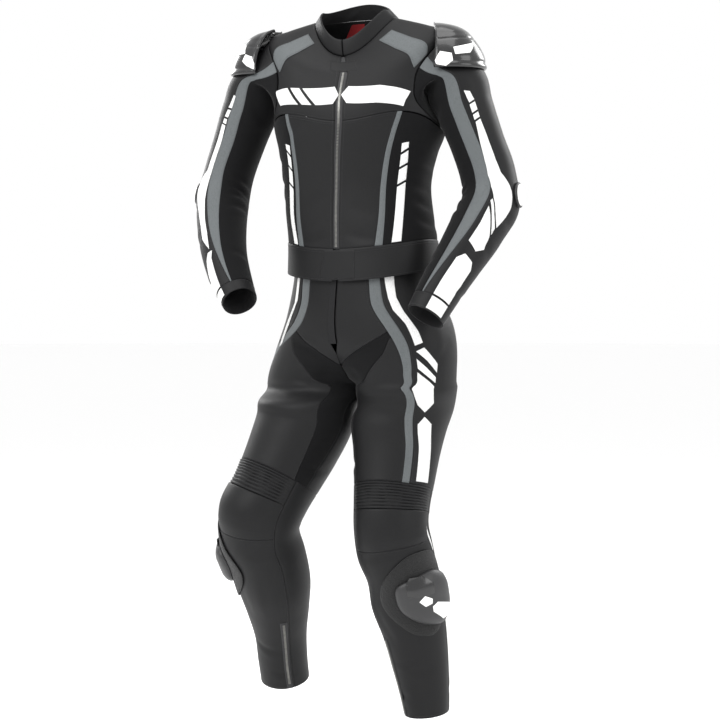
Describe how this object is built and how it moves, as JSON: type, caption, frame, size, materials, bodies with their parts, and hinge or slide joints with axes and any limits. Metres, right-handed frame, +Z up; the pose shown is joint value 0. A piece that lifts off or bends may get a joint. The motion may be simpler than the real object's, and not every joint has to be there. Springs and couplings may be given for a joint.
{
  "type": "motorcycle race suit",
  "caption": "Two-piece leather race suit, jacket over trousers, filled out as worn, with accordion knees, hard shoulder caps, elbow discs and knee sliders.",
  "frame": {"origin": "where the wearer's shoulders carry the suit: on its middle line, level with the foot of the neck", "axes": "+X to the wearer's left, -Y to the front, +Z up along the standing wearer"},
  "size_m": [0.6944, 0.3248, 1.4303],
  "materials": {
    "leather": "black cowhide with a soft sheen",
    "stretch_cloth": "black aramid stretch cloth, matte",
    "grey_leather": "grey cowhide with a soft sheen",
    "white_leather": "white cowhide with a soft sheen",
    "gloss_shell": "black moulded shell, polished",
    "hook_and_loop": "black hook-and-loop pile, matte",
    "slider_plastic": "black abrasion-resistant plastic",
    "white_shell": "white moulded shell, satin",
    "label_cloth": "red woven cloth, matte",
    "zip_tape": "black woven tape, matte"
  },
  "bodies": {
    "root": {"front_left": "leather", "front_right": "leather", "chest_left": "leather", "chest_right": "leather", "hem_band_left": "leather", "hem_band_right": "leather", "sleeve_outer_left": "leather", "sleeve_outer_right": "leather", "cuff_left": "leather", "cuff_right": "leather", "abdomen_left": "leather", "abdomen_right": "leather", "thigh_left": "leather", "thigh_right": "leather", "thigh_outer_left": "leather", "thigh_outer_right": "leather", "seat_left": "leather", "seat_right": "leather", "knee_pleats_left": "leather", "knee_pleats_right": "leather", "knee_cup_left": "leather", "knee_cup_right": "leather", "shin_left": "leather", "shin_right": "leather", "calf_left": "leather", "calf_right": "leather", "back": "leather", "back_yoke": "leather", "collar": "leather", "neck_flap": "leather", "hem_tab": "leather", "side_left": "stretch_cloth", "side_right": "stretch_cloth", "sleeve_inner_left": "stretch_cloth", "sleeve_inner_right": "stretch_cloth", "groin_left": "stretch_cloth", "groin_right": "stretch_cloth", "torso_grey_left": "grey_leather", "torso_grey_right": "grey_leather", "sleeve_grey_left": "grey_leather", "sleeve_grey_right": "grey_leather", "thigh_grey_left": "grey_leather", "thigh_grey_right": "grey_leather", "chest_white_left": "white_leather", "chest_white_right": "white_leather", "shoulder_cap_left": "gloss_shell", "shoulder_cap_right": "gloss_shell", "slider_patch_left": "hook_and_loop", "slider_patch_right": "hook_and_loop", "knee_slider_left": "slider_plastic", "knee_slider_right": "slider_plastic", "elbow_slider_left": "white_shell", "elbow_slider_right": "white_shell", "neck_label": "label_cloth", "front_zip": "zip_tape", "fly_zip": "zip_tape", "connecting_band": "zip_tape", "calf_zip_left": "zip_tape", "calf_zip_right": "zip_tape"}
  },
  "joints": []
}
